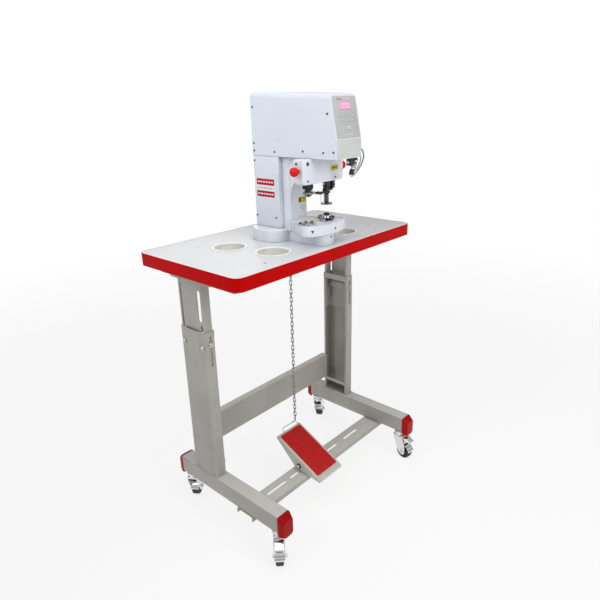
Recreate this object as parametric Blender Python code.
"""Snap setting press on a height-adjustable, castered table stand.
Units are metres, +Z up, and the floor is z = 0.  The operator stands on the -Y side, so
front is -Y, rear +Y, left -X and right +X.  Pieces are modelled in a working frame and
moved by Y_SHIFT when they get their origins."""
from collections import namedtuple
from math import pi, sin, cos, hypot, radians

import bmesh
import bpy
from mathutils import Matrix, Vector

for old_object in list(bpy.data.objects):
    bpy.data.objects.remove(old_object, do_unlink=True)

# ---------------------------------------------------------------- shared dimensions
Y_SHIFT = 0.0497            # centres the whole design on Y = 0
SHIFT = Vector((0.0, Y_SHIFT, 0.0))
GAP = 0.0003                # clearance between neighbouring pieces
OVER = 0.01                 # how far most cutters overrun the face they cut
UP = (0, 0, 1)
SIDES = (("left", -1), ("right", 1))

TABLE_T = 0.040             # table thickness
TABLE_Z = 0.942             # height of the work surface

FOOT_X = 0.353              # centre line of each foot bar
FOOT_W = 0.050
FOOT_TOP, FOOT_BOT = 0.183, 0.121
TUBE_WALL = 0.0025
CASTER_Y_FRONT, CASTER_Y_REAR = -0.2660, 0.1660

LEG_OUT = 0.373             # outer web plane of the lower leg
LEG_DEPTH = 0.037           # flange depth towards the middle

CHAIN_X, CHAIN_Y = -0.013, -0.030
CHAIN_Z0, CHAIN_Z1 = 0.2420, 0.9720

BASE_TOP = 0.9825           # top of the press base
HEAD_HX = 0.0577            # half width of the head and column covers
HEAD_Y0, HEAD_Y1 = -0.2657, 0.0780
HEAD_Z0, HEAD_Z1 = 1.2085, 1.3990
SHEET = 0.0020              # cover sheet thickness

HOUS_HX = 0.094             # ram housing
HOUS_Y0, HOUS_Y1 = -0.171, -0.1310
HOUS_Z0, HOUS_Z1 = 1.134, 1.2080
RAM_LEFT_X, RAM_RIGHT_X = -0.0485, 0.0375
RAM_Y, RAM_R = -0.149, 0.0080
RAM_BOT, RAM_TOP = 1.1060, 1.1862
ANVIL_Z0, ANVIL_Z1 = 0.9805, 1.0120
AXIS_Z = 1.3000             # eccentric shaft height
THROW = 0.0100              # eccentric radius
SHAFT_R = 0.0080
SHAFT_BORE_R = SHAFT_R + 0.0005

# ---------------------------------------------------------------- materials
Finish = namedtuple("Finish", "colour roughness metallic", defaults=(0.0,))

RED = (0.55, 0.005, 0.008)
BLACK = (0.012, 0.012, 0.013)
DARK_STEEL = (0.06, 0.06, 0.065)


def steel(roughness):
    return Finish((0.55, 0.55, 0.54), roughness, metallic=1.0)


STAND_PAINT = Finish((0.42, 0.41, 0.38), roughness=0.45)
PRESS_PAINT = Finish((0.72, 0.75, 0.82), roughness=0.35)
TABLE_FACE = Finish((0.78, 0.79, 0.80), roughness=0.35)
CUP_PLASTIC = Finish((0.80, 0.78, 0.74), roughness=0.4)
PEDAL_PAINT = Finish((0.60, 0.59, 0.53), roughness=0.45)
PANEL_GREY = Finish((0.45, 0.455, 0.46), roughness=0.4)
KEY_GREY = Finish((0.62, 0.63, 0.64), roughness=0.4)
WINDOW_PINK = Finish((0.65, 0.12, 0.35), roughness=0.15)
BLACK_PLASTIC = Finish(BLACK, roughness=0.5)
DIE_STEEL = Finish(DARK_STEEL, roughness=0.35, metallic=1.0)


def material(name, finish):
    m = bpy.data.materials.new(name)
    m.use_nodes = True
    rgba = (*finish.colour, 1.0)
    shader = m.node_tree.nodes["Principled BSDF"]
    shader.inputs["Base Color"].default_value = rgba
    shader.inputs["Roughness"].default_value = finish.roughness
    shader.inputs["Metallic"].default_value = finish.metallic
    m.diffuse_color = rgba
    return m


# ---------------------------------------------------------------- outlines
def span(side, a, b):
    """the two distances a and b put on one side of X = 0, in rising order"""
    return sorted((side * a, side * b))


def mirror_x(points):
    return [(-x, y) for x, y in reversed(points)]


def rounded(x0, x1, y0, y1, radii, segments):
    """anticlockwise rounded rectangle; one radius, or four from corner (x1, y0) onwards"""
    if not isinstance(radii, (list, tuple)):
        radii = [radii] * 4
    # corner point and the signs that lead inwards from it
    corners = ((x1, y0, -1, 1), (x1, y1, -1, -1), (x0, y1, 1, -1), (x0, y0, 1, 1))
    outline = []
    for i, (x, y, in_x, in_y) in enumerate(corners):
        radius = radii[i]
        if radius <= 1e-6:
            outline.append((x, y))
            continue
        for k in range(segments + 1):
            angle = (i - 1) * pi / 2 + (pi / 2) * k / segments
            outline.append((x + in_x * radius + radius * cos(angle),
                            y + in_y * radius + radius * sin(angle)))
    return outline


def circle(x, y, radius, segments):
    angles = [2 * pi * i / segments for i in range(segments)]
    return [(x + radius * cos(a), y + radius * sin(a)) for a in angles]


# ---------------------------------------------------------------- solids
def make_object(name, bm, finish):
    bmesh.ops.remove_doubles(bm, verts=bm.verts, dist=1e-6)
    bmesh.ops.recalc_face_normals(bm, faces=bm.faces)
    mesh = bpy.data.meshes.new(name)
    bm.to_mesh(mesh)
    bm.free()
    ob = bpy.data.objects.new(name, mesh)
    bpy.context.scene.collection.objects.link(ob)
    if finish is not None:
        mesh.materials.append(material(name + "_mat", finish))
    return ob


def loft_mesh(rings):
    """skin across rings of 3D points, closed at both ends"""
    bm = bmesh.new()
    rings = [[bm.verts.new(p) for p in ring] for ring in rings]
    bm.faces.new(rings[0])
    bm.faces.new(rings[-1])
    for a, b in zip(rings, rings[1:]):
        for i in range(len(a)):
            j = (i + 1) % len(a)
            bm.faces.new((a[i], a[j], b[j], b[i]))
    return bm


def loft(name, rings, finish=None):
    return make_object(name, loft_mesh(rings), finish)


def prism(name, outline, axis, start, end, finish=None):
    """outline extruded along axis; its points are (x, y) for Z, (y, z) for X, (x, z) for Y"""
    def point(u, v, w):
        return {"Z": (u, v, w), "X": (w, u, v), "Y": (u, w, v)}[axis]
    return loft(name, [[point(u, v, w) for u, v in outline] for w in (start, end)], finish)


def box(name, x0, x1, y0, y1, z0, z1, finish=None):
    return prism(name, [(x0, y0), (x1, y0), (x1, y1), (x0, y1)], "Z", z0, z1, finish)


def bevelled_box(name, x0, x1, y0, y1, z0, z1, bevel, finish):
    bm = loft_mesh([[(x0, y0, z), (x1, y0, z), (x1, y1, z), (x0, y1, z)] for z in (z0, z1)])
    bmesh.ops.bevel(bm, geom=list(bm.edges), offset=bevel, segments=1, profile=0.5,
                    affect="EDGES")
    return make_object(name, bm, finish)


def cross_axes(axis):
    """two unit vectors square to axis, then axis itself as a unit vector"""
    w = Vector(axis).normalized()
    helper = Vector((1, 0, 0)) if abs(w.x) < 0.9 else Vector((0, 1, 0))
    u = helper.cross(w).normalized()
    return u, w.cross(u), w


def ring_points(centre, u, v, radius, segments, phase=0.0):
    angles = [phase + 2 * pi * i / segments for i in range(segments)]
    return [centre + u * (radius * cos(a)) + v * (radius * sin(a)) for a in angles]


def lathe(name, profile, origin, axis, segments, finish=None, phase=0.0):
    """solid of revolution; the profile's (radius, height) points run from the axis back to
    the axis, or close on themselves when the first is off the axis"""
    u, v, w = cross_axes(axis)
    bm = bmesh.new()
    rings = []
    for radius, height in profile:
        centre = Vector(origin) + w * height
        on_axis = radius < 1e-7
        points = [centre] if on_axis else ring_points(centre, u, v, radius, segments, phase)
        rings.append([bm.verts.new(p) for p in points])
    pairs = list(zip(rings, rings[1:]))
    if len(rings[0]) > 1:
        pairs.append((rings[-1], rings[0]))
    for a, b in pairs:
        if len(a) == 1 and len(b) == 1:
            continue
        for i in range(segments):
            j = (i + 1) % segments
            if len(a) == 1:
                bm.faces.new((a[0], b[i], b[j]))
            elif len(b) == 1:
                bm.faces.new((a[i], b[0], a[j]))
            else:
                bm.faces.new((a[i], b[i], b[j], a[j]))
    return make_object(name, bm, finish)


def rod(name, start, end, radius, segments, finish=None):
    run = Vector(end) - Vector(start)
    profile = [(0, 0), (radius, 0), (radius, run.length), (0, run.length)]
    return lathe(name, profile, start, run, segments, finish)


def rod_x(name, x0, x1, y, z, radius, segments):
    return rod(name, (x0, y, z), (x1, y, z), radius, segments)


def rod_y(name, x, y0, y1, z, radius, segments):
    return rod(name, (x, y0, z), (x, y1, z), radius, segments)


def rod_z(name, x, y, z0, z1, radius, segments, finish=None):
    return rod(name, (x, y, z0), (x, y, z1), radius, segments, finish)


def ball(name, centre, radius, segments, rings, finish):
    angles = [-pi / 2 + pi * i / rings for i in range(1, rings)]
    arc = [(radius * cos(a), radius * sin(a)) for a in angles]
    return lathe(name, [(0, -radius)] + arc + [(0, radius)], centre, UP, segments, finish)


def bent_rod(name, path, radius, segments):
    """round bar along a polyline with flat ends"""
    points = [Vector(p) for p in path]
    rings = []
    u = None
    for i, p in enumerate(points):
        along = (points[min(i + 1, len(points) - 1)] - points[max(i - 1, 0)]).normalized()
        # carry the first axis along so that the rings don't twist
        u = cross_axes(along)[0] if u is None else (u - along * u.dot(along)).normalized()
        rings.append(ring_points(p, u, along.cross(u), radius, segments))
    return loft(name, rings)


# ---------------------------------------------------------------- booleans
def boolean(ob, tools, operation):
    """apply exact booleans in order, remove the tools and clean the mesh"""
    for tool in tools:
        modifier = ob.modifiers.new("boolean", "BOOLEAN")
        modifier.operation = operation
        modifier.solver = "EXACT"
        modifier.object = tool
    depsgraph = bpy.context.evaluated_depsgraph_get()
    depsgraph.update()
    mesh = bpy.data.meshes.new_from_object(ob.evaluated_get(depsgraph))
    old = ob.data
    materials = list(old.materials)
    ob.modifiers.clear()
    ob.data = mesh
    mesh.materials.clear()
    for m in materials:
        mesh.materials.append(m)
    for polygon in mesh.polygons:
        polygon.material_index = 0
    bpy.data.meshes.remove(old)
    for tool in tools:
        bpy.data.objects.remove(tool, do_unlink=True)
    bm = bmesh.new()
    bm.from_mesh(mesh)
    bmesh.ops.remove_doubles(bm, verts=bm.verts, dist=2e-6)
    bmesh.ops.dissolve_degenerate(bm, edges=bm.edges, dist=1e-7)
    bm.to_mesh(mesh)
    bm.free()


def cut(ob, *tools):
    boolean(ob, tools, "DIFFERENCE")


def fuse(ob, *parts):
    boolean(ob, parts, "UNION")


# ---------------------------------------------------------------- table
TABLE_HX, TABLE_HY = 0.847 / 2, 0.457 / 2
TABLE_R = 0.028             # corner radius seen from above
EDGE_T = 0.0018             # edge band thickness
EDGE_GAP = 0.0002
BAND_DROP = 0.0006          # band top below the work surface
TABLE_CUT = 0.1             # reach of cutters above and below the work surface
CHAIN_HOLE_R = 0.012

CUP_X_FRONT, CUP_Y_FRONT = 0.168, -0.107
CUP_X_REAR, CUP_Y_REAR = 0.210, 0.043
CUPS = (("front_left", -CUP_X_FRONT, CUP_Y_FRONT), ("front_right", CUP_X_FRONT, CUP_Y_FRONT),
        ("rear_left", -CUP_X_REAR, CUP_Y_REAR), ("rear_right", CUP_X_REAR, CUP_Y_REAR))
CUP_RIM_R, CUP_BODY_R = 0.0560, 0.0510
CUP_WALL = 0.0020
CUP_DEPTH = 0.034
CUP_RIM_TOP = 0.0022        # above the work surface
CUP_PROFILE = (             # radius, height from the work surface
    (0, -CUP_DEPTH), (CUP_BODY_R - 0.003, -CUP_DEPTH), (CUP_BODY_R, -CUP_DEPTH + 0.003),
    (CUP_BODY_R, GAP), (CUP_RIM_R, GAP), (CUP_RIM_R - 0.0006, CUP_RIM_TOP),
    (CUP_BODY_R - CUP_WALL, CUP_RIM_TOP),
    (CUP_BODY_R - CUP_WALL - 0.002, -CUP_DEPTH + CUP_WALL), (0, -CUP_DEPTH + CUP_WALL))


def table_outline(inset):
    return rounded(-TABLE_HX + inset, TABLE_HX - inset, -TABLE_HY + inset, TABLE_HY - inset,
                   TABLE_R - inset, 6)


def table_cutter(outline):
    return prism("cutter", outline, "Z", TABLE_Z - TABLE_CUT, TABLE_Z + TABLE_CUT)


def table():
    top = prism("table_top", table_outline(EDGE_T + EDGE_GAP), "Z", TABLE_Z - TABLE_T, TABLE_Z,
                TABLE_FACE)
    cup_holes = [table_cutter(circle(x, y, CUP_BODY_R + GAP, 20)) for _, x, y in CUPS]
    cut(top, *cup_holes, table_cutter(circle(CHAIN_X, CHAIN_Y, CHAIN_HOLE_R, 12)))

    band = prism("edge_band", table_outline(0.0), "Z", TABLE_Z - TABLE_T, TABLE_Z - BAND_DROP,
                 Finish(RED, roughness=0.4))
    cut(band, table_cutter(table_outline(EDGE_T)))

    for place, x, y in CUPS:
        lathe("parts_cup_" + place, CUP_PROFILE, (x, y, TABLE_Z), UP, 20, CUP_PLASTIC)


# ---------------------------------------------------------------- legs
LEG_Y0, LEG_Y1 = -0.0047, 0.1145
LEG_T = 0.0022              # sheet thickness
LEG_LIP = 0.010             # return lip
LEG_TOP = 0.7125
RIB_H = 0.0040              # outward swage of the web
RIB_Y0, RIB_Y1 = 0.0215, 0.0880
RIB_EASE = 0.0008           # trims the inner corners of the swage

NEST = LEG_T + 0.0006       # inset of the upper leg in the lower
UPLEG_WEB = LEG_OUT - NEST
UPLEG_BOT, UPLEG_TOP = 0.560, 0.9015
WEB_SLOT_Y = (0.0095, 0.1000)
WEB_SLOT_Z = (0.600, 0.856)
WEB_SLOT_HW = 0.0040

FLANGE_Y0, FLANGE_Y1 = -0.150, 0.192    # top flange under the table
FLANGE_W, FLANGE_T = 0.060, 0.0045
APRON_T = 0.0025
APRON = [                   # (y, z) of the plate below the top flange
    (FLANGE_Y0, UPLEG_TOP - 0.001), (FLANGE_Y0, UPLEG_TOP - 0.012),
    (-0.030, UPLEG_TOP - 0.034), (0.140, UPLEG_TOP - 0.034),
    (FLANGE_Y1, UPLEG_TOP - 0.012), (FLANGE_Y1, UPLEG_TOP - 0.001)]

LOCK_X = LEG_OUT - 0.0195   # lock bolt and the front flange slot it runs in
LOCK_Z = 0.668
LOCK_R = 0.0038
LOCK_SLOT_Z = (0.594, 0.697)
LOCK_SLOT_HW = 0.0045
LOCK_PROFILE = [            # radius, distance from the face of the head
    (0, 0), (0.0078, 0), (0.0078, 0.0042), (LOCK_R, 0.0042), (LOCK_R, 0.0125), (0, 0.0125)]
SLOT_EASE = 0.0001          # keeps slot end radii just under half the width
END_PLATE_BITE = 0.0012     # overlap of the bottom plate with the channel walls


def lower_section(side):
    """lipped channel with an outward swage in its web"""
    web, t, rib = LEG_OUT, LEG_T, LEG_OUT + RIB_H
    edge = web - LEG_DEPTH
    y0, y1 = LEG_Y0, LEG_Y1
    right = [(edge, y0), (web, y0), (web, RIB_Y0), (rib, RIB_Y0 + RIB_H),
             (rib, RIB_Y1 - RIB_H), (web, RIB_Y1), (web, y1),
             (edge, y1), (edge, y1 - LEG_LIP), (edge + t, y1 - LEG_LIP), (edge + t, y1 - t),
             (web - t, y1 - t), (web - t, RIB_Y1 - t), (rib - t, RIB_Y1 - RIB_H - RIB_EASE),
             (rib - t, RIB_Y0 + RIB_H + RIB_EASE), (web - t, RIB_Y0 + t), (web - t, y0 + t),
             (edge + t, y0 + t), (edge + t, y0 + LEG_LIP), (edge, y0 + LEG_LIP)]
    return right if side > 0 else mirror_x(right)


def upper_section(side):
    """plain lipped channel that telescopes inside the lower leg"""
    web, t = UPLEG_WEB, LEG_T
    edge = web - (LEG_DEPTH - 2 * NEST)
    y0, y1 = LEG_Y0 + NEST, LEG_Y1 - NEST
    right = [(edge, y0), (web, y0), (web, y1), (edge, y1), (edge, y1 - LEG_LIP),
             (edge + t, y1 - LEG_LIP), (edge + t, y1 - t), (web - t, y1 - t),
             (web - t, y0 + t), (edge + t, y0 + t), (edge + t, y0 + LEG_LIP),
             (edge, y0 + LEG_LIP)]
    return right if side > 0 else mirror_x(right)


def upper_leg(label, side):
    leg = prism("upper_leg_" + label, upper_section(side), "Z", UPLEG_BOT, UPLEG_TOP,
                STAND_PAINT)
    fuse(leg,
         box("flange", *span(side, UPLEG_WEB, UPLEG_WEB - FLANGE_W), FLANGE_Y0, FLANGE_Y1,
             UPLEG_TOP - FLANGE_T, UPLEG_TOP),
         prism("apron", APRON, "X", *span(side, UPLEG_WEB, UPLEG_WEB - APRON_T)))
    web_cut = span(side, LEG_OUT - 0.012, LEG_OUT + 0.02)
    cut(leg, *[prism("cutter", rounded(y - WEB_SLOT_HW, y + WEB_SLOT_HW, *WEB_SLOT_Z,
                                       WEB_SLOT_HW - SLOT_EASE, 3), "X", *web_cut)
               for y in WEB_SLOT_Y])
    cut(leg, rod_y("cutter", side * LOCK_X, LEG_Y0 - OVER, LEG_Y0 + 0.02, LOCK_Z,
                   LOCK_R + GAP, 12))


def lower_leg(label, side):
    leg = prism("lower_leg_" + label, lower_section(side), "Z", FOOT_TOP + GAP, LEG_TOP,
                STAND_PAINT)
    x = side * LOCK_X
    cut(leg, prism("cutter", rounded(x - LOCK_SLOT_HW, x + LOCK_SLOT_HW, *LOCK_SLOT_Z,
                                     LOCK_SLOT_HW - SLOT_EASE, 3),
                   "Y", LEG_Y0 - OVER, LEG_Y0 + 0.0035))
    # plate inside the bottom end
    fuse(leg, box("plate", *span(side, LEG_OUT - END_PLATE_BITE,
                                 LEG_OUT - LEG_DEPTH + END_PLATE_BITE),
                  LEG_Y0 + END_PLATE_BITE, LEG_Y1 - END_PLATE_BITE,
                  FOOT_TOP + 0.0008, FOOT_TOP + 0.0052))


def legs():
    for label, side in SIDES:
        upper_leg(label, side)
        lower_leg(label, side)
        lathe("leg_lock_bolt_" + label, LOCK_PROFILE, (side * LOCK_X, LEG_Y0 - 0.0045, LOCK_Z),
              (0, 1, 0), 12, steel(roughness=0.3))


# ---------------------------------------------------------------- foot bars and caps
FOOT_Y0, FOOT_Y1 = -0.287, 0.187
CAP_LEN = 0.024
CAP_OVERLAP = 0.0010        # cap section outside the tube section
CAP_DROP = 0.0165           # lowest line of the cap cone below the tube
STEM_HOLE_R = 0.0068
SPIGOT_IN, SPIGOT_OUT = -0.012, 0.003   # spigot ends, measured outwards from the tube end


def foot_bar(label, x):
    bar = prism("foot_bar_" + label,
                rounded(x - FOOT_W / 2, x + FOOT_W / 2, FOOT_BOT, FOOT_TOP, 0.004, 2), "Y",
                FOOT_Y0, FOOT_Y1, STAND_PAINT)
    inner = FOOT_W / 2 - TUBE_WALL
    cut(bar,
        box("cutter", x - inner, x + inner, FOOT_Y0 - OVER, FOOT_Y1 + OVER,
            FOOT_BOT + TUBE_WALL, FOOT_TOP - TUBE_WALL),
        *[rod_z("cutter", x, y, FOOT_BOT - 0.02, FOOT_BOT + 0.02, STEM_HOLE_R, 12)
          for y in (CASTER_Y_FRONT, CASTER_Y_REAR)])


def chamfered(half, z0, z1, chamfer):
    """(x, z) octagon, half wide each side of x = 0"""
    inner = half - chamfer
    return ((-inner, z0), (inner, z0), (half, z0 + chamfer), (half, z1 - chamfer),
            (inner, z1), (-inner, z1), (-half, z1 - chamfer), (-half, z0 + chamfer))


def foot_cap(name, x, tube_end, outwards):
    """faceted nose that tapers to a smaller end face, with a spigot in the tube"""
    half = FOOT_W / 2 + CAP_OVERLAP
    bottom, top = FOOT_BOT - CAP_DROP, FOOT_TOP + CAP_OVERLAP
    stations = (            # distance out, half width, bottom, top, chamfer
        (GAP, half, FOOT_BOT - CAP_OVERLAP, top, 0.004),
        (0.006, half, bottom + 0.003, top, 0.006),
        (CAP_LEN, half - 0.0055, bottom + 0.006, top - 0.013, 0.007))
    cap = loft(name, [[(x + u, tube_end + outwards * out, z)
                       for u, z in chamfered(hw, z0, z1, chamfer)]
                      for out, hw, z0, z1, chamfer in stations], Finish(RED, roughness=0.35))
    inner = FOOT_W / 2 - TUBE_WALL - GAP
    y0, y1 = sorted((tube_end + outwards * SPIGOT_IN, tube_end + outwards * SPIGOT_OUT))
    fuse(cap, box("spigot", x - inner, x + inner, y0, y1, FOOT_BOT + 0.030,
                  FOOT_TOP - TUBE_WALL - GAP))


def feet():
    for label, side in SIDES:
        foot_bar(label, side * FOOT_X)
        foot_cap("foot_cap_front_" + label, side * FOOT_X, FOOT_Y0, -1)
        foot_cap("foot_cap_rear_" + label, side * FOOT_X, FOOT_Y1, 1)


# ---------------------------------------------------------------- cross brace and treadle bar
BRACE_HX = LEG_OUT - LEG_DEPTH - GAP
BRACE_Y0, BRACE_Y1 = 0.098, 0.126
BRACE_Z0, BRACE_Z1 = 0.241, 0.346
BRACE_LIP = 0.012
BRACE_END_T = 0.003
BAR_T = 0.0022              # sheet thickness of brace and treadle bar

TREAD_HX = 0.380
TREAD_Y0, TREAD_Y1 = -0.1755, -0.1027
TREAD_Z1 = FOOT_BOT - GAP
TREAD_Z0 = TREAD_Z1 - 0.019
TREAD_SLOT_Y = (TREAD_Y0 + TREAD_Y1) / 2 + 0.004
TREAD_SLOT_HW = 0.0045
TREAD_SLOTS_X = ((-0.273, -0.181), (-0.158, -0.118), (0.148, 0.233), (0.045, 0.105))


def cross_brace():
    y0, y1, z0, z1, t = BRACE_Y0, BRACE_Y1, BRACE_Z0, BRACE_Z1, BAR_T
    lip_y, lip_z = y1 - BRACE_LIP, z1 - BRACE_LIP
    section = [(y0, z0), (lip_y, z0), (lip_y, z0 + t), (y0 + t, z0 + t), (y0 + t, z1 - t),
               (y1 - t, z1 - t), (y1 - t, lip_z), (y1, lip_z), (y1, z1), (y0, z1)]
    brace = prism("cross_brace", section, "X", -BRACE_HX, BRACE_HX, STAND_PAINT)
    for _, side in SIDES:
        fuse(brace, box("end_plate", *span(side, BRACE_HX, BRACE_HX - BRACE_END_T),
                        y0, y1 - 0.010, z0 + 0.001, z1 - 0.001))


def treadle_bar():
    """downward-open channel under the foot bars"""
    y0, y1, z0, z1, t = TREAD_Y0, TREAD_Y1, TREAD_Z0, TREAD_Z1, BAR_T
    section = [(y0, z0), (y0, z1), (y1, z1), (y1, z0), (y1 - t, z0), (y1 - t, z1 - t),
               (y0 + t, z1 - t), (y0 + t, z0)]
    bar = prism("treadle_bar", section, "X", -TREAD_HX, TREAD_HX, STAND_PAINT)
    cut(bar, *[prism("cutter", rounded(x0, x1, TREAD_SLOT_Y - TREAD_SLOT_HW,
                                       TREAD_SLOT_Y + TREAD_SLOT_HW,
                                       TREAD_SLOT_HW - SLOT_EASE, 3),
                     "Z", z1 - 0.006, z1 + OVER) for x0, x1 in TREAD_SLOTS_X])


# ---------------------------------------------------------------- casters
WHEEL_R, WHEEL_W = 0.0300, 0.026
WHEEL_SEGMENTS = 18
TRAIL = 0.026               # wheel axle behind the swivel axis
CHEEK_IN = WHEEL_W / 2 + 0.0022         # inner face of a cheek
CHEEK_OUT = CHEEK_IN + 0.0024
AXLE_R = 0.0040
STEM_R = 0.0062
STEM_TOP = FOOT_BOT + TUBE_WALL + 0.012
CASTERS = (                 # name, swivel axis x and y, heading of the trail in degrees
    ("front_left", -FOOT_X, CASTER_Y_FRONT, 225.0), ("front_right", FOOT_X, CASTER_Y_FRONT, 262.0),
    ("rear_left", -FOOT_X, CASTER_Y_REAR, 35.0), ("rear_right", FOOT_X, CASTER_Y_REAR, 28.0))
# Profiles are (radius, height above the floor); outlines are (x along the trail, z).
SWIVEL_PROFILE = [
    (0, 0.0990), (0.0190, 0.0990), (0.0225, 0.1020), (0.0225, 0.1120), (0.0200, 0.1165),
    (0.0120, 0.1190), (STEM_R, 0.1195), (STEM_R, STEM_TOP), (0, STEM_TOP)]
CHEEK_OUTLINE = [
    (-0.0205, 0.1005), (-0.0190, 0.0840), (0.0060, 0.0300), (0.0160, 0.0190),
    (TRAIL + 0.0040, 0.0165), (TRAIL + 0.0110, 0.0215), (TRAIL + 0.0135, 0.0330),
    (TRAIL + 0.0125, 0.0600), (0.0225, 0.1005)]
BRAKE_OUTLINE = [
    (0.0240, 0.0860), (0.0250, 0.0970), (0.0390, 0.0950), (0.0590, 0.0850), (0.0605, 0.0805),
    (0.0430, 0.0850), (0.0400, 0.0720), (0.0300, 0.0680), (0.0260, 0.0720)]
BRAKE_ORIGIN = (0.0275, 0, 0.0880)


def caster_fork(name):
    fork = lathe(name, SWIVEL_PROFILE, (0, 0, 0), UP, 16, steel(roughness=0.22))
    fuse(fork, box("crown", -0.0205, 0.0225, -CHEEK_OUT, CHEEK_OUT, 0.0900, 0.1010),
         *[prism("cheek", CHEEK_OUTLINE, "Y", *span(side, CHEEK_IN, CHEEK_OUT))
           for _, side in SIDES])
    axle_end = CHEEK_IN + 0.0046
    fuse(fork, rod_y("axle", TRAIL, -axle_end, axle_end, WHEEL_R, AXLE_R, 12))
    return fork


def caster_wheel(name):
    """wheel with a bored hub; one flat facet of its tread lies on the floor"""
    h = WHEEL_W / 2
    half_step = pi / WHEEL_SEGMENTS
    tread = WHEEL_R / cos(half_step)
    bore = AXLE_R + GAP
    profile = [(bore, -h), (0.0110, -h), (0.0130, -h + 0.0025), (tread - 0.0030, -h + 0.0010),
               (tread, -h + 0.0040), (tread, h - 0.0040), (tread - 0.0030, h - 0.0010),
               (0.0130, h - 0.0025), (0.0110, h), (bore, h)]
    return lathe(name, profile, (TRAIL, 0, WHEEL_R), (0, 1, 0), WHEEL_SEGMENTS, BLACK_PLASTIC,
                 half_step)


def caster_brake(name):
    """foot lever between the cheeks, above the wheel"""
    half = CHEEK_IN - 0.0008
    return prism(name, BRAKE_OUTLINE, "Y", -half, half, BLACK_PLASTIC)


def casters():
    """each piece is drawn with the trail along +X, then moved and turned as an object"""
    for tag, x, y, heading in CASTERS:
        turn = Matrix.Rotation(radians(heading), 4, "Z")
        for piece, origin in ((caster_fork("caster_fork_" + tag), (0, 0, FOOT_BOT)),
                              (caster_wheel("caster_wheel_" + tag), (TRAIL, 0, WHEEL_R)),
                              (caster_brake("caster_brake_" + tag), BRAKE_ORIGIN)):
            seat(piece, origin)
            piece.location = Vector((x, y, 0)) + SHIFT + turn @ Vector(origin)
            piece.rotation_euler = (0.0, 0.0, radians(heading))


# ---------------------------------------------------------------- pedal and pull chain
PEDAL_X0, PEDAL_X1 = -0.112, 0.010
PEDAL_T = 0.0020
PIVOT_Y, PIVOT_Z = -0.136, 0.1440
PIVOT_PIN_R = 0.0040
PEDAL_REAR, PEDAL_FRONT = (-0.0290, 0.2235), (-0.2320, 0.1285)     # top sheet ends (y, z)
PEDAL_DY = PEDAL_FRONT[0] - PEDAL_REAR[0]
PEDAL_DZ = PEDAL_FRONT[1] - PEDAL_REAR[1]
PEDAL_LEN = hypot(PEDAL_DY, PEDAL_DZ)
PEDAL_NOSE_Y = -0.2345
PEDAL_OUTLINE = [           # (y, z)
    PEDAL_REAR, (PEDAL_REAR[0] + 0.0015, PEDAL_REAR[1] - 0.010), (-0.1120, 0.1345),
    (-0.1160, 0.1290), (-0.1640, 0.1250), (-0.2300, 0.1170), (PEDAL_NOSE_Y, 0.1200),
    PEDAL_FRONT]
PEDAL_HOLLOW = [            # (y, z); runs out past the rear and the underside
    (PEDAL_REAR[0] + 0.02, PEDAL_REAR[1] - 0.0040 + 0.02 * PEDAL_DZ / PEDAL_DY),
    (PEDAL_FRONT[0] + PEDAL_T, PEDAL_FRONT[1] - 0.0030),
    (PEDAL_NOSE_Y + PEDAL_T, 0.09), (0.0, 0.09)]
MAT_REAR, MAT_FRONT = 0.045, 0.925      # fractions of the top sheet, from its rear edge
MAT_TOP = 0.0032
MAT_MARGIN = 0.0085
BRACKET_GAP = 0.0006        # beside the pedal's side sheets
BRACKET_T = 0.0024
BRACKET_HY = 0.0085
BRACKET_TOP = PIVOT_Z + 0.0075
CHAIN_R = 0.0032


def pivot_cutter():
    return rod_x("cutter", PEDAL_X0 - OVER, PEDAL_X1 + OVER, PIVOT_Y, PIVOT_Z,
                 PIVOT_PIN_R + GAP, 12)


def on_pedal(fraction, height):
    """(y, z) at a fraction from rear to front and a height square to the top sheet"""
    return (PEDAL_REAR[0] + PEDAL_DY * fraction + PEDAL_DZ / PEDAL_LEN * height,
            PEDAL_REAR[1] + PEDAL_DZ * fraction - PEDAL_DY / PEDAL_LEN * height)


def pedal():
    body = prism("pedal_body", PEDAL_OUTLINE, "X", PEDAL_X0, PEDAL_X1, PEDAL_PAINT)
    cut(body, prism("cutter", PEDAL_HOLLOW, "X", PEDAL_X0 + PEDAL_T, PEDAL_X1 - PEDAL_T),
        pivot_cutter())
    prism("pedal_mat", [on_pedal(MAT_REAR, GAP), on_pedal(MAT_FRONT, GAP),
                        on_pedal(MAT_FRONT, MAT_TOP), on_pedal(MAT_REAR, MAT_TOP)],
          "X", PEDAL_X0 + MAT_MARGIN, PEDAL_X1 - MAT_MARGIN, Finish(RED, roughness=0.7))


def pedal_bracket():
    """upward-open channel on the treadle bar, between the pedal's sides"""
    x0 = PEDAL_X0 + PEDAL_T + BRACKET_GAP
    x1 = PEDAL_X1 - PEDAL_T - BRACKET_GAP
    floor, top, t = FOOT_BOT, BRACKET_TOP, BRACKET_T
    section = [(x0, floor), (x1, floor), (x1, top), (x1 - t, top), (x1 - t, floor + t),
               (x0 + t, floor + t), (x0 + t, top), (x0, top)]
    bracket = prism("pedal_bracket", section, "Y", PIVOT_Y - BRACKET_HY, PIVOT_Y + BRACKET_HY,
                    STAND_PAINT)
    cut(bracket, pivot_cutter())


def pedal_pin():
    head = 0.0040
    shank_end = PEDAL_X1 - PEDAL_X0 + 0.0060
    profile = [(0, 0), (0.0072, 0), (0.0072, head), (PIVOT_PIN_R, head),
               (PIVOT_PIN_R, shank_end), (0.0066, shank_end), (0.0066, shank_end + head),
               (0, shank_end + head)]
    lathe("pedal_pin", profile, (PEDAL_X0 - 0.0050, PIVOT_Y, PIVOT_Z), (1, 0, 0), 12,
          steel(roughness=0.3))


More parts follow.
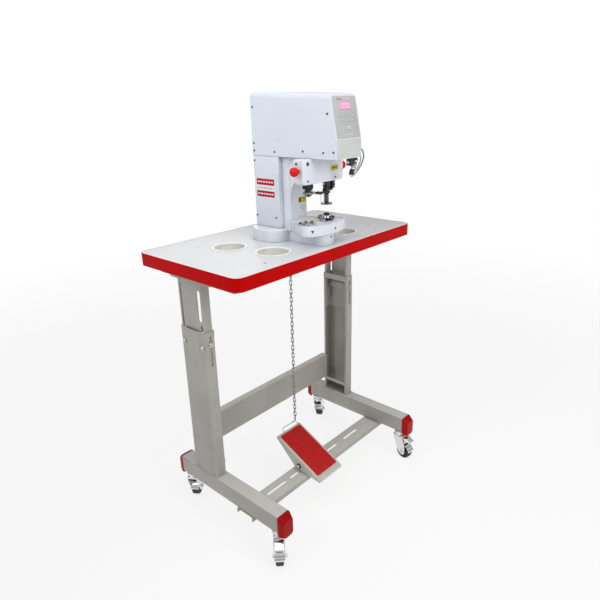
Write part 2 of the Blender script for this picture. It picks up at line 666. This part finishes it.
def pull_chain():
    """plain bar in place of the links"""
    rod_z("pull_chain", CHAIN_X, CHAIN_Y, CHAIN_Z0, CHAIN_Z1, CHAIN_R, 8, steel(roughness=0.3))


# ---------------------------------------------------------------- press frame and trip lever
BASE_HX = 0.0965
BASE_Y0, BASE_Y1 = -0.0530, 0.0917
COL_HX, COL_BACK_HX = 0.040, 0.0500
COL_Y0, COL_Y1 = -0.065, 0.058
COL_RIGHT = [               # (x, y) right half: narrow front, sloping blend, wider back
    (0.037, COL_Y0), (COL_HX, COL_Y0 + 0.003), (COL_HX, -0.030), (COL_BACK_HX, -0.018),
    (COL_BACK_HX, COL_Y1)]
KEEL_HX = 0.038             # lower arm under the anvil table
KEEL_Y0, KEEL_Y1 = -0.196, -0.030
KEEL_R = 0.034
ARM_HX, ARM_BOT = 0.0395, 1.150
ARM_TOP = HEAD_Z0 - GAP
MOTOR_PLATE_HX, MOTOR_PLATE_TOP = 0.040, 1.3500
MOTOR_PLATE_Y = (-0.1040, -0.0940)
GUSSET_HX = 0.034
GUSSET = [                  # (y, z) of the fillet under the upper arm
    (COL_Y0 + 0.002, 1.094), (COL_Y0 + 0.002, ARM_BOT + 0.002), (-0.124, ARM_BOT + 0.002),
    (-0.105, ARM_BOT - 0.004), (-0.088, ARM_BOT - 0.014), (-0.0745, ARM_BOT - 0.0305)]
POCKET_HX = 0.014           # pocket for the trip lever
POCKET_Y = (-0.0520, 0.0350)
POCKET_TOP = 0.9740
CHAIN_BORE_R, CHAIN_BORE_TOP = 0.0065, 1.060

LEVER_Y, LEVER_Z = 0.0240, 0.9630       # lever turning point
LEVER_Y0, LEVER_Y1 = -0.0400, 0.0300
LEVER_HX, LEVER_HZ = 0.0105, 0.0035
FORK_HX = 0.0058            # notch around the chain


def machine_frame():
    frame = prism("machine_frame",
                  rounded(-BASE_HX, BASE_HX, BASE_Y0, BASE_Y1, [0.055, 0.060, 0.060, 0.055], 8),
                  "Z", TABLE_Z + GAP, BASE_TOP, PRESS_PAINT)
    fuse(frame,
         prism("column", COL_RIGHT + mirror_x(COL_RIGHT), "Z", TABLE_Z + 0.005, ARM_TOP),
         prism("keel", rounded(-KEEL_HX, KEEL_HX, KEEL_Y0, KEEL_Y1, [KEEL_R, 0, 0, KEEL_R], 6),
               "Z", TABLE_Z + GAP, ANVIL_Z0 - GAP),
         box("upper_arm", -ARM_HX, ARM_HX, HOUS_Y1 + GAP, COL_Y1, ARM_BOT, ARM_TOP),
         box("motor_plate", -MOTOR_PLATE_HX, MOTOR_PLATE_HX, *MOTOR_PLATE_Y,
             HEAD_Z0 - 0.010, MOTOR_PLATE_TOP))
    fuse(frame, prism("gusset", GUSSET, "X", -GUSSET_HX, GUSSET_HX))
    cut(frame,
        box("cutter", CHAIN_X - POCKET_HX, CHAIN_X + POCKET_HX, *POCKET_Y,
            TABLE_Z - OVER, POCKET_TOP),
        rod_z("cutter", CHAIN_X, CHAIN_Y, TABLE_Z - OVER, CHAIN_BORE_TOP, CHAIN_BORE_R, 12),
        rod_y("cutter", 0, -0.12, -0.08, AXIS_Z, SHAFT_BORE_R, 16))


def trip_lever():
    """flat arm whose front end is forked around the chain"""
    lever = box("trip_lever", CHAIN_X - LEVER_HX, CHAIN_X + LEVER_HX, LEVER_Y0, LEVER_Y1,
                LEVER_Z - LEVER_HZ, LEVER_Z + LEVER_HZ, steel(roughness=0.4))
    cut(lever, box("cutter", CHAIN_X - FORK_HX, CHAIN_X + FORK_HX, -0.0500, -0.0180,
                   LEVER_Z - OVER, LEVER_Z + OVER))


# ---------------------------------------------------------------- covers
COVER_Y0 = -0.0347          # front face of the column cover
COVER_OPEN_HX = 0.0407      # half width of its front opening
COVER_R = 0.006

KINK_Z = 1.2645             # foot of the sloping front
NOSE_TOP_Y, NOSE_TOP_Z = -0.2430, 1.3805    # top of the sloping front
ROOF_Y, ROOF_Z = -0.2370, 1.3860            # front end of the roof
ROOF_REAR_R = 0.013
ROOF_SIDE_R = 0.017


def column_cover():
    """sheet wrapped round the back, the sides and the front shoulders"""
    hx, y1, r = HEAD_HX, HEAD_Y1, COVER_R
    outer = [(-COVER_OPEN_HX, COVER_Y0), (-hx, COVER_Y0)]
    for k in range(4):
        a = k * pi / 6
        outer.append((-hx + r - r * cos(a), y1 - r + r * sin(a)))
    ix = hx - SHEET
    inner = [(COVER_OPEN_HX, COVER_Y0 + SHEET), (ix, COVER_Y0 + SHEET), (ix, y1 - SHEET)]
    prism("column_cover", outer + mirror_x(outer) + inner + mirror_x(inner), "Z",
          BASE_TOP + GAP, HEAD_Z0 - GAP, PRESS_PAINT)


def head_block(name, inset, finish=None):
    """the head's side outline crossed with its front section, both drawn inwards by inset"""
    y0, y1, z0, z1 = HEAD_Y0 + inset, HEAD_Y1 - inset, HEAD_Z0 + inset, HEAD_Z1 - inset
    r = ROOF_REAR_R - inset
    side = [(y1, z0)]
    for k in range(5):
        a = (pi / 2) * k / 4
        side.append((y1 - r + r * cos(a), z1 - r + r * sin(a)))
    side += [(ROOF_Y + inset * 0.4, ROOF_Z - inset),
             (NOSE_TOP_Y + inset, NOSE_TOP_Z - inset * 0.4), (y0, KINK_Z - inset * 0.1), (y0, z0)]
    block = prism(name, side, "X", -HEAD_HX - OVER, HEAD_HX + OVER, finish)

    # long block with rounded upper edges whose roof falls to the front
    hx, edge_r = HEAD_HX - inset, ROOF_SIDE_R - inset
    rings = []
    for y, top in ((HEAD_Y1 + OVER, HEAD_Z1 + 0.0004), (HEAD_Y0 - OVER, ROOF_Z - 0.0013)):
        section = rounded(-hx, hx, HEAD_Z0 - 0.05, top - inset, [0, edge_r, edge_r, 0], 5)
        rings.append([(x, y, z) for x, z in section])
    boolean(block, [loft("section", rings)], "INTERSECT")
    return block


def head_cover():
    """hollow shell with an opening in its floor and one in its sloping front"""
    cover = head_block("head_cover", 0.0, PRESS_PAINT)
    cut(cover, head_block("cutter", SHEET),
        box("cutter", -HEAD_HX + SHEET, HEAD_HX - SHEET, HOUS_Y0 - 0.0005, HEAD_Y1 - SHEET,
            HEAD_Z0 - OVER, HEAD_Z0 + OVER))
    cut(cover, slope_cutter(PANEL_F0 - GAP, PANEL_F1 + GAP, PANEL_HX + GAP))


# ---------------------------------------------------------------- control panel
# F values run up the sloping front from its foot.
PANEL_F0, PANEL_F1, PANEL_HX = 0.0030, 0.1150, 0.0530
WINDOW_F0, WINDOW_F1, WINDOW_HX = 0.080, 0.100, 0.024
KEY_F, KEY_HF, KEY_HX = 0.030, 0.0050, 0.0080
KEY_CLEAR = 0.0005
SLOPE_DY, SLOPE_DZ = NOSE_TOP_Y - HEAD_Y0, NOSE_TOP_Z - KINK_Z
SLOPE_LEN = hypot(SLOPE_DY, SLOPE_DZ)
SLOPE_Y, SLOPE_Z = SLOPE_DY / SLOPE_LEN, SLOPE_DZ / SLOPE_LEN     # unit vector up the slope


def slope(f, height):
    """(y, z) at distance f up the slope and a height outwards from it"""
    return (HEAD_Y0 + SLOPE_Y * f - SLOPE_Z * height, KINK_Z + SLOPE_Z * f + SLOPE_Y * height)


def slope_plate(name, f0, f1, half_x, outer, inner, finish=None):
    return prism(name, [slope(f0, outer), slope(f1, outer), slope(f1, inner), slope(f0, inner)],
                 "X", -half_x, half_x, finish)


def slope_cutter(f0, f1, half_x):
    return slope_plate("cutter", f0, f1, half_x, OVER, -OVER)


def control_panel():
    panel = slope_plate("control_panel", PANEL_F0, PANEL_F1, PANEL_HX, 0.0010, -0.0035,
                        PANEL_GREY)
    key_hf = KEY_HF + KEY_CLEAR
    cut(panel, slope_cutter(WINDOW_F0 - GAP, WINDOW_F1 + GAP, WINDOW_HX + GAP),
        slope_cutter(KEY_F - key_hf, KEY_F + key_hf, KEY_HX + KEY_CLEAR))
    slope_plate("display_window", WINDOW_F0, WINDOW_F1, WINDOW_HX, 0.0014, -0.0030, WINDOW_PINK)
    slope_plate("panel_key", KEY_F - KEY_HF, KEY_F + KEY_HF, KEY_HX, 0.0026, -0.0030, KEY_GREY)


# ---------------------------------------------------------------- ram housing and knobs
HOUS_BACK_R = 0.016         # round of the lower back edge
CAVITY_Y = (HOUS_Y0 + 0.009, HOUS_Y1 - 0.005)
CAVITY_HX, CAVITY_MOUTH_HX = 0.0600, 0.0545
PIN_Y, PIN_Z, PIN_R = -0.151, 1.1745, 0.0040
KNOB_X, KNOB_R = 0.1115, 0.0140


def ram_housing():
    y1, z0, z1, r = HOUS_Y1, HOUS_Z0, HOUS_Z1, HOUS_BACK_R
    housing = prism("ram_housing",
                    rounded(-HOUS_HX, HOUS_HX, z0, z1, [0.011, 0.004, 0.004, 0.011], 4), "Y",
                    HOUS_Y0, y1, PRESS_PAINT)
    corner = [(y1 + OVER, z0 - OVER), (y1 - r, z0 - OVER)]
    for k in range(6):
        a = pi / 2 * k / 5
        corner.append((y1 - r + r * sin(a), z0 + r - r * cos(a)))
    corner.append((y1 + OVER, z0 + r))
    cut(housing, prism("cutter", corner, "X", -0.2, 0.2))
    # inner cavity and its narrower mouth in the top
    cut(housing, box("cutter", -CAVITY_HX, CAVITY_HX, *CAVITY_Y, z0 + 0.017, z1 - 0.004),
        box("cutter", -CAVITY_MOUTH_HX, CAVITY_MOUTH_HX, *CAVITY_Y, z1 - 0.010, z1 + OVER))
    cut(housing,
        *[rod_z("cutter", x, RAM_Y, z0 - OVER, z0 + 0.03, RAM_R + GAP, 16)
          for x in (RAM_LEFT_X, RAM_RIGHT_X)],
        *[rod_x("cutter", x0, x1, PIN_Y, PIN_Z, PIN_R + GAP, 12)
          for x0, x1 in ((-0.12, -0.055), (0.055, 0.12))])


def release_knobs():
    """ball on a pin that reaches towards the ram"""
    for (label, side), ram_x in zip(SIDES, (RAM_LEFT_X, RAM_RIGHT_X)):
        knob = ball("release_knob_" + label, (side * KNOB_X, PIN_Y, PIN_Z), KNOB_R, 16, 10,
                    Finish(RED, roughness=0.12))
        pin_end = ram_x + side * (RAM_R + 0.0012)
        fuse(knob, rod_x("pin", side * (KNOB_X - 0.004), pin_end, PIN_Y, PIN_Z, PIN_R, 12))


# ---------------------------------------------------------------- drive
MOTOR_H = 0.0300            # half side of the motor body
MOTOR_Y0, MOTOR_Y1 = -0.0938, 0.0400
CROSS_X0, CROSS_X1 = -0.0530, RAM_RIGHT_X + 0.0075
CROSS_HY, YOKE_HY = 0.0100, 0.0055
YOKE_SLOT_HX, YOKE_SLOT_HZ = 0.0175, 0.0076
ECCENTRIC_PROFILE = [       # radius, y
    (0, -0.0560), (SHAFT_R, -0.0560), (SHAFT_R, -0.1080), (0.0200, -0.1080),
    (0.0200, -0.1160), (0, -0.1160)]


def servo_motor():
    motor = box("servo_motor", -MOTOR_H, MOTOR_H, MOTOR_Y0, MOTOR_Y1,
                AXIS_Z - MOTOR_H, AXIS_Z + MOTOR_H, BLACK_PLASTIC)
    cut(motor, rod_y("cutter", 0, -0.10, -0.05, AXIS_Z, SHAFT_BORE_R, 16))
    fuse(motor, rod_y("rear_boss", 0, MOTOR_Y1 - 0.002, 0.060, AXIS_Z, 0.0220, 20))


def eccentric_shaft():
    shaft = lathe("eccentric_shaft", ECCENTRIC_PROFILE, (0, 0, AXIS_Z), (0, 1, 0), 20,
                  steel(roughness=0.3))
    fuse(shaft, rod_y("crank_pin", 0, -0.1150, -0.1540, AXIS_Z + THROW, 0.0050, 12))


def crosshead():
    """bar across the rams with a slotted yoke for the crank pin"""
    y0, y1 = RAM_Y - YOKE_HY, RAM_Y + YOKE_HY
    bar = box("crosshead", CROSS_X0, CROSS_X1, RAM_Y - CROSS_HY, RAM_Y + CROSS_HY,
              1.1865, 1.1990, steel(roughness=0.35))
    fuse(bar, box("stalk", -0.0110, 0.0110, y0, y1, 1.1980, 1.2970),
         box("yoke", -0.0250, 0.0250, y0, y1, 1.2940, 1.3270))
    crank_z = AXIS_Z + THROW
    cut(bar, prism("cutter", rounded(-YOKE_SLOT_HX, YOKE_SLOT_HX, crank_z - YOKE_SLOT_HZ,
                                     crank_z + YOKE_SLOT_HZ, 0.0060, 3), "Y",
                   y0 - OVER, y1 + OVER))


# ---------------------------------------------------------------- rams and dies
# Die profiles are (radius, z).  Upper dies are bored to fit over the ram ends; lower dies
# have a shank in the anvil table.
BORE_R = RAM_R + GAP
DIE_SEAT_Z = 1.1055         # closed end of the upper die bores
DIE_TOP = 1.1330
UPPER_LEFT = [
    (BORE_R, DIE_TOP), (0.0145, DIE_TOP), (0.0145, 1.1180), (0.0110, 1.1160),
    (0.0110, 1.1120), (0.0130, 1.1105), (0.0130, 1.1020), (0.0090, 1.0985),
    (0.0060, 1.0960), (0, 1.0960), (0, DIE_SEAT_Z), (BORE_R, DIE_SEAT_Z)]
UPPER_RIGHT = [
    (BORE_R, DIE_TOP), (0.0120, DIE_TOP), (0.0120, 1.1160), (0.0100, 1.1145),
    (0.0100, 1.1105), (0.0125, 1.1090), (0.0125, 1.0960), (0.0070, 1.0930),
    (0.0070, 1.0660), (0.0085, 1.0640), (0.0085, 1.0600), (0.0050, 1.0590),
    (0, 1.0590), (0, DIE_SEAT_Z), (BORE_R, DIE_SEAT_Z)]
SHANK_R = 0.0080
LOWER_SHANK = [
    (0, 0.9910), (SHANK_R, 0.9910), (SHANK_R, ANVIL_Z1 + GAP), (0.0200, ANVIL_Z1 + GAP)]
LOWER_LEFT = LOWER_SHANK + [
    (0.0200, 1.0160), (0.0120, 1.0175), (0.0100, 1.0215), (0, 1.0215)]
LOWER_RIGHT = LOWER_SHANK + [
    (0.0200, 1.0155), (0.0110, 1.0175), (0.0080, 1.0250), (0.0095, 1.0265),
    (0.0095, 1.0310), (0.0060, 1.0330), (0, 1.0330)]
RAM_PROFILE = [(0, RAM_BOT), (RAM_R, RAM_BOT), (RAM_R, RAM_TOP), (0, RAM_TOP)]

GUARD_Z = 1.0620            # finger guard ring
GUARD_RING = [(0.0150, -0.0020), (0.0185, -0.0020), (0.0185, 0.0020), (0.0150, 0.0020)]
GUARD_CLAMP = [(0.0133, 1.1025), (0.0185, 1.1025), (0.0185, 1.1100), (0.0133, 1.1100)]
GUARD_PATH = [              # (x from the right ram, z from the ring)
    (-0.0170, -0.0005), (-0.0200, 0.006), (-0.0200, 0.026), (-0.0230, 0.034),
    (-0.0300, 0.0385), (-0.0500, 0.0430)]
GUIDE_HY = 0.0090


def rams_and_dies():
    for label, x, upper, lower, lower_finish in (
            ("left", RAM_LEFT_X, UPPER_LEFT, LOWER_LEFT, steel(roughness=0.25)),
            ("right", RAM_RIGHT_X, UPPER_RIGHT, LOWER_RIGHT,
             Finish(DARK_STEEL, roughness=0.3, metallic=1.0))):
        axis_foot = (x, RAM_Y, 0)
        lathe("ram_" + label, RAM_PROFILE, axis_foot, UP, 16, steel(roughness=0.25))
        lathe("upper_die_" + label, upper, axis_foot, UP, 16, DIE_STEEL)
        lathe("lower_die_" + label, lower, axis_foot, UP, 20, lower_finish)


def die_guide_block():
    """block beside the right die, under the housing"""
    bevelled_box("die_guide_block", RAM_RIGHT_X + 0.0170, RAM_RIGHT_X + 0.0330,
                 RAM_Y - GUIDE_HY, RAM_Y + GUIDE_HY, 1.1080, HOUS_Z0 - GAP, 0.0015, DIE_STEEL)


def finger_guard():
    """ring round the right die, a bent rod and a collar round the left die"""
    guard = lathe("finger_guard", GUARD_RING, (RAM_RIGHT_X, RAM_Y, GUARD_Z), UP, 20,
                  steel(roughness=0.2))
    path = [(RAM_RIGHT_X + dx, RAM_Y, GUARD_Z + dz) for dx, dz in GUARD_PATH]
    path.append((RAM_LEFT_X + 0.0180, RAM_Y, 1.1060))
    fuse(guard, bent_rod("rod", path, 0.0020, 8),
         lathe("collar", GUARD_CLAMP, (RAM_LEFT_X, RAM_Y, 0), UP, 16))


# ---------------------------------------------------------------- anvil table
ANVIL_Y0, ANVIL_Y1 = -0.208, -0.0655
ANVIL_ARC_R = 0.1870        # shallow arc across the front
ANVIL_ARC_STEP = 0.1135     # radians
ANVIL_RIGHT = [             # (x, y) from the end of the arc to the column
    (0.0905, -0.1790), (0.0935, -0.1670), (0.0925, -0.1590), (0.0420, ANVIL_Y1 - GAP)]


def anvil_table():
    """fan-shaped in plan, narrow where it meets the column"""
    arc = []
    for k in range(-4, 5):
        a = ANVIL_ARC_STEP * k
        arc.append((ANVIL_ARC_R * sin(a), ANVIL_Y0 + ANVIL_ARC_R * (1 - cos(a))))
    anvil = prism("anvil_table", arc + ANVIL_RIGHT + mirror_x(ANVIL_RIGHT), "Z",
                  ANVIL_Z0, ANVIL_Z1, PRESS_PAINT)
    cut(anvil, *[rod_z("cutter", x, RAM_Y, 0.9900, 1.10, SHANK_R + GAP, 16)
                 for x in (RAM_LEFT_X, RAM_RIGHT_X)])


# ---------------------------------------------------------------- work lamp
def work_lamp():
    """block under the nose with a side arm and a tilted round lamp"""
    lamp = bevelled_box("work_lamp", 0.0220, 0.0380, -0.2560, -0.2380, 1.1850, HEAD_Z0 - GAP,
                        0.0012, Finish(BLACK, roughness=0.4))
    fuse(lamp, rod_x("arm", 0.0340, 0.0500, -0.2470, 1.1930, 0.0040, 10))
    fuse(lamp, rod("lamp", (0.0500, -0.2530, 1.2040), (0.0460, -0.2380, 1.1560), 0.0075, 14))


# ---------------------------------------------------------------- origins and parents
MOVING = (                  # name, point on the joint's axis, pieces that move as one
    ("pedal", ((PEDAL_X0 + PEDAL_X1) / 2, PIVOT_Y, PIVOT_Z), ("pedal_body", "pedal_mat")),
    ("chain", (CHAIN_X, CHAIN_Y, CHAIN_Z0), ("pull_chain",)),
    ("trip_lever", (CHAIN_X, LEVER_Y, LEVER_Z), ("trip_lever",)),
    ("drive", (0.0, -0.0900, AXIS_Z), ("eccentric_shaft",)),
    ("rams", (0.0, RAM_Y, RAM_TOP), ("crosshead", "ram_left", "ram_right", "upper_die_left",
                                     "upper_die_right", "finger_guard")),
    ("release_left", (-KNOB_X, PIN_Y, PIN_Z), ("release_knob_left",)),
    ("release_right", (KNOB_X, PIN_Y, PIN_Z), ("release_knob_right",)),
    ("key", (0.0, *slope(KEY_F, 0.0)), ("panel_key",)))


def seat(ob, origin):
    """move the object's origin to a point of the working frame, leaving its shape in place"""
    ob.data.transform(Matrix.Translation(-Vector(origin)))
    ob.data.update()
    ob.location = Vector(origin) + SHIFT


def hang_moving():
    """put each moving group under an empty on its joint's axis"""
    for tag, point, names in MOVING:
        pivot = bpy.data.objects.new("pivot_" + tag, None)
        pivot.empty_display_size = 0.03
        pivot.location = Vector(point) + SHIFT
        bpy.context.scene.collection.objects.link(pivot)
        for name in names:
            ob = bpy.data.objects[name]
            seat(ob, point)
            ob.parent = pivot
            ob.location = (0.0, 0.0, 0.0)


def seat_fixed():
    """origin of each fixed piece at the middle of the underside of its bounding box"""
    for ob in list(bpy.data.objects):
        if ob.type == "MESH" and ob.parent is None:
            xs, ys, zs = zip(*(v.co for v in ob.data.vertices))
            seat(ob, ((min(xs) + max(xs)) / 2, (min(ys) + max(ys)) / 2, min(zs)))


for build in (table, legs, feet, cross_brace, treadle_bar, pedal, pedal_bracket, pedal_pin,
              pull_chain, machine_frame, trip_lever, column_cover, head_cover, control_panel,
              ram_housing, release_knobs, servo_motor, eccentric_shaft, crosshead,
              rams_and_dies, die_guide_block, finger_guard, anvil_table, work_lamp):
    build()
hang_moving()
seat_fixed()
casters()                   # last, because they set their own origins and headings
